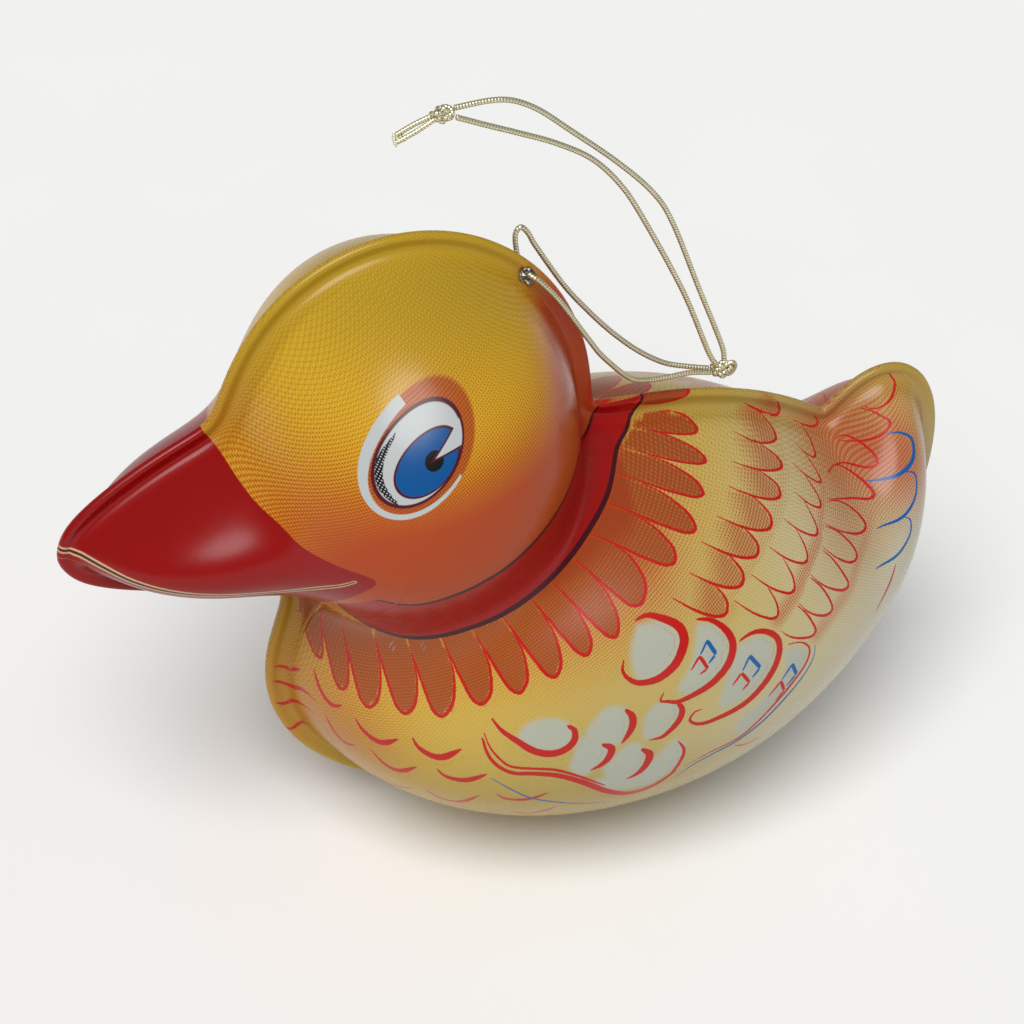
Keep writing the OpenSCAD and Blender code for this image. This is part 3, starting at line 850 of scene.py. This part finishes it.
tints = {
    "orange": [  # x, z, size along x, size along z, amount
        (-2, 48, 9, 9, 1.0), (-13, 43, 18, 9, 1.0), (-20, 49, 14, 9, 0.5), (3, 55, 3.6, 9, 0.9),
        (5, 52, 4, 8, 0.8),
        (7, 55, 2.6, 12, 1.0), (-14, 62.5, 6, 2.5, 0.12), (35, 38, 6, 4, 0.5), (41, 38, 4, 5, 0.4),
        (-24, 20, 5, 9, 0.4), (31, 33, 5, 4, 0.12),
    ],
    "pale": [(34, 20, 17, 14, 0.9), (43, 30, 7, 8, 0.9), (16, 20, 10, 6, 0.3), (24, 8, 24, 8, 0.6),
             (26, 37, 8, 6, 0.35)],
    "body": [(14, 34, 22, 14, 0.95), (2, 18, 24, 12, 0.9), (36, 34, 12, 16, 0.9)],
    # painted shade: olive darkening where less light falls, on the lower body, along the top of the head by
    # its groove, and on the tail
    "paintedShade": [(-2, 12, 34, 9, 0.8), (-12, 67, 18, 5, 0.9), (36, 36, 6, 6, 0.6)],
    "edge": 0.85,  # painted shade: olive darkening along the seam, where the rim's groove lies in shade
    "washes": [  # points of a soft orange band, its size and amount
        ([(33.4, 38.9), (31.3, 38.3), (30.4, 37.6), (28.9, 36.9), (27.1, 35.9), (24.6, 34.9), (22.1, 33.4),
          (19.5, 32)], 1.1, 0.42),
        ([(42.4, 42.2), (40.3, 39.9), (37.9, 37.1), (36.5, 34.9), (34.2, 33.2), (31.7, 32), (29.6, 30.6),
          (26.7, 29.6), (24.2, 28.5)], 1.1, 0.36),
        ([(28.8, 41.3), (27, 41), (25.9, 40.3), (23.9, 39.5), (21.3, 38.5), (18.6, 37.4), (16, 35.9),
          (13.5, 34.1)], 1.5, 0.2),
    ],
}


def drawArtwork():
    rings = lambda p: smoothCurve(p, 60)
    red, dark, blue, whites = [], [], [], []
    fills = []
    for row in feathers:
        strokes, shapes = featherRow(row)
        red += strokes
        fills += shapes
    for root, tip, thick in napeFeathers:
        root, tip = np.array(root), np.array(tip)
        way = tip - root
        side = np.array([-way[1], way[0]]) / np.linalg.norm(way) * thick
        line = [root, root + 0.4 * way - side, root + 0.8 * way - side, tip, root + 0.8 * way + side,
                root + 0.4 * way + side, root + 0.1 * side]
        red.append(makeStroke(line, 0.17, 0.4, 0.4, 0.5, 40))
        fills.append((smoothCurve(line, 30), root, tip, 0.85, 0.0))
    for points, width in wing["scallops"]:
        red.append(makeStroke(points, width, 0.25, 0.12, 0.4, 60))
    for points, width, start, end, fat in wing["lines"]:
        red.append(makeStroke(points, width, start, end, fat, 50))
    for points, width in breastMarks:
        red.append(makeStroke(points, width, 0.1, 0.1, 0.6, 24))
    for points, width in wing["blueLines"]:
        blue.append(makeStroke(points, width, 0.25, 0.25, 0.5, 50))
    for apex, right, bottom, left, roof, leftFoot, rightFoot in wing["diamonds"]:
        blue.append(makeStroke([left, apex], 0.13, 0.5, 0.9, 0.9, 12))
        blue.append(makeStroke([apex, right], 0.24, 0.9, 0.9, 0.5, 12))
        blue.append(makeStroke([right, bottom], 0.15, 0.9, 0.4, 0.2, 12))
        red.append(makeStroke([left, roof], 0.21, 0.8, 0.9, 0.5, 12))
        red.append(makeStroke([left, leftFoot], 0.15, 0.9, 0.2, 0.1, 12))
        red.append(makeStroke([roof, rightFoot], 0.15, 0.9, 0.2, 0.1, 12))
    innerEdge, outerEdge = rings(collar["inner"]), rings(collar["outer"])
    dark.append(makeStroke(collar["inner"], collar["edge"], 0.5, 0.5, 0.5, 90))
    dark.append(makeStroke(collar["outer"], collar["edge"] * 1.2, 0.5, 0.5, 0.5, 90))
    band = np.vstack([innerEdge, outerEdge[::-1]])
    beak = np.vstack([rings(beakPaint["border"]), [(-40, 30), (-54, 34), (-54, 52), (-44, 60)]])
    mouth = [makeStroke(beakPaint["mouth"], 0.42, 0.8, 0.4, 0.4, 80)]
    mouthDark = [makeStroke(beakPaint["mouth"], 0.17, 0.8, 0.4, 0.4, 80)]
    whites = [smoothCurve(p + p[:1], 40)[:-1] for p in wing["fills"]]
    hatch = [makeStroke(eyeLines["hatch"], 0.42, 0.1, 0.25, 0.6, 60)]
    return {"red": red, "dark": dark + mouthDark, "blue": blue, "whites": whites, "band": [band],
            "beak": [beak],
            "mouth": mouth, "hatch": hatch, "fills": fills}


def inkAttributes(piece, art):
    # the printed layers and a painted shade, as numbers on the mesh's points: lines carry (signed distance,
    # half width), areas their signed distance and tints their strength
    mesh = piece.data
    co = np.empty(len(mesh.vertices) * 3, dtype=np.float32)
    mesh.vertices.foreach_get("co", co)
    p = co.reshape(-1, 3).astype(float) / mm
    p[:, 1] = np.abs(p[:, 1])
    outside = fieldOf(p[:, 0], p[:, 2]) < 0
    p[outside, 1] = np.minimum(p[outside, 1], half["tin"])
    p[outside, 1] = half["tin"] + heightOf(p[outside, 0], p[outside, 2])

    def store(name, a, b, c):
        layer = mesh.attributes.new(name, "FLOAT_VECTOR", "POINT")
        layer.data.foreach_set("vector", np.stack([a, b, c], axis=1).astype(np.float32).ravel())

    for name, count in artwork["plates"].items():
        sheets = shareOut(art[name], count)
        for k in range(count):
            away, wide = inkOf(p, sheets[k])
            store(f"{name}{k}", away, wide, np.zeros(len(p)))
    store("areas", areaOf(p, art["whites"]), areaOf(p, art["band"]), areaOf(p, art["beak"]))
    fill, clear = np.zeros(len(p)), np.ones(len(p))
    for outline, root, tip, amount, fade in art["fills"]:
        inside = np.clip(areaOf(p, [outline], 0.6) / 0.1 + 0.5, 0, 1)
        way = tip - root
        along = ((p[:, 0] - root[0]) * way[0] + (p[:, 2] - root[1]) * way[1]) / (way**2).sum()
        grown = np.clip((along - 0.1) / fade, 0, 1) if fade > 0 else 1.0
        fill = np.maximum(fill, inside * amount * grown)
        if amount == 0:
            clear = np.minimum(clear, 1 - 0.8 * inside)  # the washes lie behind the plain feathers
    store("tints", fill, glowOf(p, tints["orange"]), glowOf(p, tints["pale"]))
    # the third shades channel is painted shade: olive spots on the lower body, head top and tail, and the
    # seam's groove darkened towards the outline
    store("shades", glowOf(p, tints["body"]), washOf(p, tints["washes"]) * clear,
          np.maximum(glowOf(p, tints["paintedShade"]), tints["edge"] * np.exp(-np.maximum(fieldOf(p[:, 0], p[:, 2]),
                                                                                   0) / 25)))


eye = {  # centres and half sizes in plan, turned by degrees from the x axis
    "ball": (-17.0, 57.5, 5.47, 2.99, 43),
    "iris": (-16.4, 56.95, 3.92, 2.03, 39),
    "pupil": (-15.8, 57.2, 1.0, 0.75, 40),
    "halo": (-16.6, 57.9, 6.7, 3.9, 44),
    "outer": (-17.01, 57.6, 6.95, 3.95, 44.7),
    "inner": (-16.52, 57.71, 6.69, 3.39, 43.4),
    "cut": (-17.01, 57.72, 32.8, 1.85),  # the white crescent stops along this line: point, turn and distance
    "wedge": (-15.8, 57.3, 31, 13),  # apex x and z, turn and half opening in degrees
}


inkScreens = {"pitch": 0.26, "red": 28, "grey": 58}  # mm between dots, and each screen's turn in degrees


def printedTin():
    # lithographed tinplate: inks screened on the flat sheet over a white coat, varnished, then stamped;
    # the gloss is the varnish, and the tints are dots of red and grey-green over yellow, darkened by painted
    # shade
    material, tree = newMaterial("lithographed_tinplate")

    def layer(name):
        read = add(tree, "Attribute", attribute_name=name, attribute_type="GEOMETRY")
        return add(tree, "SeparateXYZ", {"Vector": read["Vector"]})

    place = add(tree, "TexCoord")["Object"]

    def screen(degrees, pitch):
        # a halftone screen: 0.5 + (cos u + cos v) / 4 over the sheet, one dot per pitch in mm
        turned = add(tree, "Mapping", {"Vector": place, "Rotation": (0, math.radians(degrees), 0),
                                                 "Scale": [2 * math.pi / (pitch * mm)] * 3})
        axes = add(tree, "SeparateXYZ", {"Vector": turned[0]})
        u, v = add(tree, "Math", [axes[0]], operation="COSINE")[0], add(tree, "Math", [axes[2]],
                                                                        operation="COSINE")[0]
        both = add(tree, "Math", [u, v], operation="ADD")[0]
        return add(tree, "Math", [both, 0.25, 0.5], operation="MULTIPLY_ADD")[0]  # 0 to 1

    def dots(field, amount, soft=0.3):
        # dots that grow with the amount: ink where the screen is above 1 - amount
        level = add(tree, "Math", [1.0, amount], operation="SUBTRACT")[0]
        gap = add(tree, "Math", [field, level], operation="SUBTRACT")[0]
        return add(tree, "MapRange", [gap, -soft / 2, soft / 2], interpolation_type="SMOOTHSTEP")[0]

    bristle = add(tree, "TexNoise", {"Vector": place, "Scale": 2600.0, "Detail": 2.0})[0]

    def lineInk(name, ragged, soft=0.05):
        shift = add(tree, "Math", [bristle, ragged, -0.5 * ragged], operation="MULTIPLY_ADD")[0]
        ink = None
        for k in range(artwork["plates"][name]):
            axes = layer(f"{name}{k}")
            room = add(tree, "Math", [axes[1], add(tree, "Math", [axes[0]], operation="ABSOLUTE")[0]],
                       operation="SUBTRACT")[0]
            ink = room if ink is None else add(tree, "Math", [ink, room], operation="MAXIMUM")[0]
        return add(tree, "MapRange", [add(tree, "Math", [ink, shift], operation="ADD")[0], -soft, soft],
                   interpolation_type="SMOOTHSTEP")[0]

    def ellipse(shape):
        x, z, long, short, turn = shape
        into = add(tree, "Mapping", {"Vector": place, "Location": (x * mm, 0, z * mm),
                                               "Rotation": (0, -math.radians(turn), 0),
                                               "Scale": (long * mm, 1e6, short * mm)}, vector_type="TEXTURE")
        return add(tree, "VectorMath", {0: into[0]}, operation="LENGTH")["Value"]

    areas, shares, shades = layer("areas"), layer("tints"), layer("shades")
    redScreen, greyScreen = screen(inkScreens["red"], inkScreens["pitch"]), screen(inkScreens["grey"],
                                                                                   inkScreens["pitch"])

    # yellow over the white coat, paler over the body and towards the tail, then the screens
    ground = add(tree, "Mix", {0: shades[0], 6: toLinear("#D0AA28"), 7: toLinear("#B9A75C")},
                 data_type="RGBA")[2]
    ground = add(tree, "Mix", {0: shares[2], 6: ground, 7: toLinear("#C3C2AC")}, data_type="RGBA")[2]
    orange = add(tree, "Math", [add(tree, "Math", [shares[1], 0.92, 0.05], operation="MULTIPLY_ADD")[0],
                                shares[0]], operation="MAXIMUM")[0]
    orange = add(tree, "Math", [orange, shades[1]], operation="MAXIMUM")[0]
    # painted shade: the olive coat and the extra grey-green dots, from the third shades channel, darken the
    # lower body, the head's top, the tail and the seam groove; the grey-green screen's 0.25 under them is
    # print
    grey = add(tree, "Math", [shades[2], 0.5, 0.25], operation="MULTIPLY_ADD")[0]
    coats = [(add(tree, "Math", [shades[2], 0.4], operation="MULTIPLY")[0], toLinear("#84721A"))]
    coats.append((add(tree, "Math", [dots(greyScreen, grey), 0.35], operation="MULTIPLY")[0],
                  toLinear("#7A6A1E")))
    tintRed = add(tree, "Mix", {0: shares[0], 6: toLinear("#9C2808"), 7: toLinear("#86240E")},
                  data_type="RGBA")[2]
    coats.append((add(tree, "Math", [orange, 0.85], operation="MULTIPLY")[0],
            add(tree, "Mix", {0: shares[0], 6: toLinear("#AE3C08"), 7: toLinear("#983A16")},
                data_type="RGBA")[2]))
    coats.append((add(tree, "Math", [dots(redScreen, orange), 0.7], operation="MULTIPLY")[0], tintRed))
    coats.append((add(tree, "MapRange", [areas[0], -0.8, 0.15], interpolation_type="SMOOTHSTEP")[0],
                  toLinear("#A6A898")))

    # beak and collar are solid red
    coats.append((add(tree, "MapRange", [areas[2], -0.04, 0.04], interpolation_type="SMOOTHSTEP")[0],
                  toLinear("#880504")))
    coats.append((add(tree, "MapRange", [areas[1], -0.04, 0.04], interpolation_type="SMOOTHSTEP")[0],
                  toLinear("#960808")))
    coats.append((lineInk("red", 0.12), toLinear("#B01812")))
    coats.append((lineInk("blue", 0.05), toLinear("#0E5596")))
    coats.append((lineInk("mouth", 0.08), toLinear("#C8A078")))
    coats.append((lineInk("dark", 0.06), toLinear("#3E0814")))

    # the eye: halo of dots, outline, white, hatched crescent, iris, pupil, and the white wedge cut
    # into the iris
    halo, ball, iris, pupil = (ellipse(eye[k]) for k in ("halo", "ball", "iris", "pupil"))
    x, z, turn, opening = eye["wedge"]
    into = add(tree, "Mapping", {"Vector": place, "Location": (x * mm, 0, z * mm),
                                           "Rotation": (0, -math.radians(turn), 0)}, vector_type="TEXTURE")
    axes = add(tree, "SeparateXYZ", {"Vector": into[0]})
    flank = add(tree, "Math", [add(tree, "Math", [axes[2]], operation="ABSOLUTE")[0],
                               math.cos(math.radians(opening)) / mm], operation="MULTIPLY")[0]
    depth = add(tree, "Math", [axes[0], math.sin(math.radians(opening)) / mm], operation="MULTIPLY")[0]
    wedge = add(tree, "Math", [depth, flank], operation="SUBTRACT")[0]
    outline, white = toLinear("#4A0E1C"), toLinear("#B0B4B4")
    ring = add(tree, "MapRange", [halo, 1.02, 0.94], interpolation_type="SMOOTHSTEP")[0]
    coats.append((add(tree, "Math", [ring, 0.85], operation="MULTIPLY")[0], toLinear("#A8541E")))
    coats.append((add(tree, "Math", [ring, add(tree, "Math", [dots(redScreen, 0.55), 0.8],
            operation="MULTIPLY")[0]], operation="MULTIPLY")[0], toLinear("#8E3412")))
    outer, inner = ellipse(eye["outer"]), ellipse(eye["inner"])
    x, z, turn, room = eye["cut"]
    across = add(tree, "Mapping", {"Vector": place, "Location": (x * mm, 0, z * mm),
                                             "Rotation": (0, -math.radians(turn), 0)}, vector_type="TEXTURE")
    past = add(tree, "SeparateXYZ", {"Vector": across[0]})[0]
    crescent = add(tree, "Math", [add(tree, "MapRange", [outer, 1.01, 0.99],
            interpolation_type="SMOOTHSTEP")[0], add(tree, "MapRange", [inner, 0.99, 1.01],
                    interpolation_type="SMOOTHSTEP")[0]], operation="MULTIPLY")[0]
    crescent = add(tree, "Math", [crescent, add(tree, "MapRange",
            [past, (room + 0.08) * mm, (room - 0.08) * mm], interpolation_type="SMOOTHSTEP")[0]],
            operation="MULTIPLY")[0]
    coats.append((crescent, white))
    coats.append((add(tree, "MapRange", [ball, 1.04, 1.01], interpolation_type="SMOOTHSTEP")[0], outline))
    coats.append((add(tree, "MapRange", [ball, 0.965, 0.935], interpolation_type="SMOOTHSTEP")[0], white))
    inBall = add(tree, "MapRange", [ball, 0.985, 0.955], interpolation_type="SMOOTHSTEP")[0]
    coats.append((add(tree, "Math", [lineInk("hatch", 0.25), dots(greyScreen, 0.75)],
                      operation="MULTIPLY")[0], toLinear("#101014")))
    coats.append((add(tree, "Math", [add(tree, "MapRange", [iris, 1.03, 1.0],
            interpolation_type="SMOOTHSTEP")[0], inBall], operation="MULTIPLY")[0], outline))
    coats.append((add(tree, "Math", [add(tree, "MapRange", [iris, 0.96, 0.93],
            interpolation_type="SMOOTHSTEP")[0], inBall], operation="MULTIPLY")[0], toLinear("#064C88")))
    coats.append((add(tree, "MapRange", [pupil, 1.04, 0.98], interpolation_type="SMOOTHSTEP")[0],
                  toLinear("#0A0A0C")))
    inIris = add(tree, "Math", [add(tree, "MapRange", [iris, 1.03, 1.0], interpolation_type="SMOOTHSTEP")[0],
                                inBall], operation="MULTIPLY")[0]
    coats.append((add(tree, "Math", [add(tree, "MapRange", [wedge, -0.16, -0.1],
            interpolation_type="SMOOTHSTEP")[0], inIris], operation="MULTIPLY")[0], outline))
    coats.append((add(tree, "Math", [add(tree, "MapRange", [wedge, 0.0, 0.06],
            interpolation_type="SMOOTHSTEP")[0], inBall], operation="MULTIPLY")[0], white))

    # the coats in the order they were laid: how much of each, and its colour
    colour = ground
    for amount, over in coats:
        colour = add(tree, "Mix", {0: amount, 6: colour, 7: over}, data_type="RGBA")[2]

    grain = add(tree, "TexNoise", {"Vector": place, "Scale": 160.0, "Detail": 4.0})
    bump = add(tree, "Bump", {"Height": grain[0], "Strength": 0.08, "Distance": 0.0004})
    shine = add(tree, "MapRange", {"Value": grain[0], "To Min": 0.2, "To Max": 0.34})
    shader = add(tree, "BsdfPrincipled", {
        "Base Color": colour, "Roughness": shine[0], "IOR": 1.5, "Specular IOR Level": 0.3,
        "Normal": bump[0]})
    finishMaterial(tree, shader)
    return material


def bareTin():
    # unprinted tinplate inside: bright tin gone dull and grey
    material, tree = newMaterial("dull_tinplate")
    place = add(tree, "TexCoord")
    bloom = add(tree, "TexNoise", {"Vector": place["Object"], "Scale": 240.0,
                                             "Detail": 5.0})
    tone = add(tree, "Mix", {"Factor": bloom[0], 6: toLinear("#B9B6AE"),
                                       7: toLinear("#7C7870")}, data_type="RGBA")
    rough = add(tree, "MapRange", {"Value": bloom[0], "To Min": 0.3, "To Max": 0.6})
    shader = add(tree, "BsdfPrincipled", {"Base Color": tone[2], "Metallic": 1.0,
                                                    "Roughness": rough[0]})
    finishMaterial(tree, shader)
    return material


litho, dullTin = printedTin(), bareTin()
art = drawArtwork()
print("artwork drawn:", len(art["red"]), "red lines")


hole = {
    "x": 0.3,
    "z": 64.3,
    "radius": 0.7,
    "sides": 28,
    "waves": 72,  # points round the torn lip
    "lip": 10,  # points round the lip's own section
}


def pierce(piece):
    # the cord hole, punched through the seam band
    a = np.arange(hole["sides"]) * 2 * math.pi / hole["sides"]
    ring = np.stack([hole["x"] + hole["radius"] * np.cos(a), hole["z"] + hole["radius"] * np.sin(a)], axis=1)
    n = hole["sides"]
    points = np.vstack([np.column_stack([ring[:, 0], np.full(n, y), ring[:, 1]]) for y in (-3.0, 3.0)])
    faces = [list(range(n)), [n + k for k in range(n)][::-1]]
    faces += [[k, n + k, n + (k + 1) % n, (k + 1) % n] for k in range(n)]
    punch = addMesh("punch", points, turnOut(points, faces), [litho])
    cut = piece.modifiers.new("hole", "BOOLEAN")
    cut.operation, cut.object, cut.solver = "DIFFERENCE", punch, "MANIFOLD"
    shown = piece.evaluated_get(bpy.context.evaluated_depsgraph_get())
    pierced = bpy.data.meshes.new_from_object(shown)
    old = piece.data
    piece.modifiers.clear()
    piece.data = pierced
    bpy.data.meshes.remove(old)
    bpy.data.objects.remove(punch)


def makeHalf(name, node, rim, mirror):
    points, faces, kinds = shellMesh(rim, mirror)
    piece = addMesh(name, points, turnOut(points, faces), [litho, dullTin], kinds)
    pierce(piece)
    inkAttributes(piece, art)
    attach(piece, "duck")
    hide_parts(node)
    print(name, "stamped:", len(piece.data.polygons), "faces")


def makeBurr():
    # the torn lip of the hole: a ring whose section is a small loop; its height and reach follow
    # sines of 4, 7 and
    # 11 waves round the hole
    a = np.linspace(0, 2 * math.pi, hole["waves"], endpoint=False)[:, None]
    b = np.linspace(0, 2 * math.pi, hole["lip"], endpoint=False)[None, :]
    wave = 0.5 + 0.25 * np.sin(4 * a + 1) + 0.17 * np.sin(7 * a) + 0.12 * np.sin(11 * a + 2)
    low = 0.5 - 0.5 * np.sin(a + 0.6)  # the tear is taller on the lower front side
    reach = hole["radius"] - 0.06 + (0.1 + 0.42 * low * wave) * (0.5 + 0.5 * np.cos(b)) + 0.05 * np.cos(b)
    rise = (0.18 + 0.5 * wave * (0.3 + low)) * (0.5 + 0.5 * np.cos(b + 1.1))
    level = -half["tin"] - 0.02 - rise + 0.1 * np.sin(b)
    x = hole["x"] + reach * np.cos(a)
    z = hole["z"] + reach * np.sin(a)
    points = np.stack([x, level + 0 * x, z], axis=2).reshape(-1, 3)
    i, j = np.meshgrid(np.arange(hole["waves"]), np.arange(hole["lip"]), indexing="ij")
    i2, j2, n = (i + 1) % hole["waves"], (j + 1) % hole["lip"], hole["lip"]
    faces = np.stack([i * n + j, i * n + j2, i2 * n + j2, i2 * n + j], axis=-1).reshape(-1, 4).tolist()
    piece = addMesh("hole_burr", points, turnOut(points, faces), [dullTin])
    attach(piece, "duck")


makeHalf("left_half", "left_shell", leftRim, True)
makeHalf("right_half", "right_shell", rightRim, False)
makeBurr()


stage = {
    "size": 3000.0,
    "sky": 0.24,  # even light from all round
    "sun": (-30, 35, 40, 2.85),  # azimuth, degrees from overhead, softness in degrees, strength
}


def setStage():
    s = stage["size"]
    material, tree = newMaterial("white_paper_sweep")
    place = add(tree, "TexCoord")
    fleck = add(tree, "TexNoise", {"Vector": place["Object"], "Scale": 30.0})
    tone = add(tree, "Mix", {"Factor": fleck[0], 6: toLinear("#F6F6F5"),
                                       7: toLinear("#F2F2F1")}, data_type="RGBA")
    finishMaterial(tree, add(tree, "BsdfPrincipled",
                             {"Base Color": tone[2], "Roughness": 0.9}))
    floor = addMesh("floor", [(-s, -s, -0.02), (s, -s, -0.02), (s, s, -0.02), (-s, s, -0.02)], [(0, 1, 2, 3)],
                    [material])
    world = bpy.data.worlds.new("studio")
    bpy.context.scene.world = world
    world.use_nodes = True
    world.node_tree.nodes["Background"].inputs["Color"].default_value = (1, 1, 1, 1)
    world.node_tree.nodes["Background"].inputs["Strength"].default_value = stage["sky"]
    azimuth, lean, softness, strength = stage["sun"]
    data = bpy.data.lights.new("softbox", "SUN")
    data.angle, data.energy = math.radians(softness), strength
    lamp = bpy.data.objects.new("softbox", data)
    a, t = math.radians(azimuth), math.radians(lean)
    toLamp = Vector((math.sin(a) * math.sin(t), -math.cos(a) * math.sin(t), math.cos(t)))
    lamp.rotation_mode = "QUATERNION"
    lamp.rotation_quaternion = toLamp.to_track_quat("Z", "Y")
    lamp.location = toLamp * 0.5
    bpy.context.scene.collection.objects.link(lamp)


setStage()
bpy.context.scene.view_settings.view_transform = "Standard"
print("stage set")
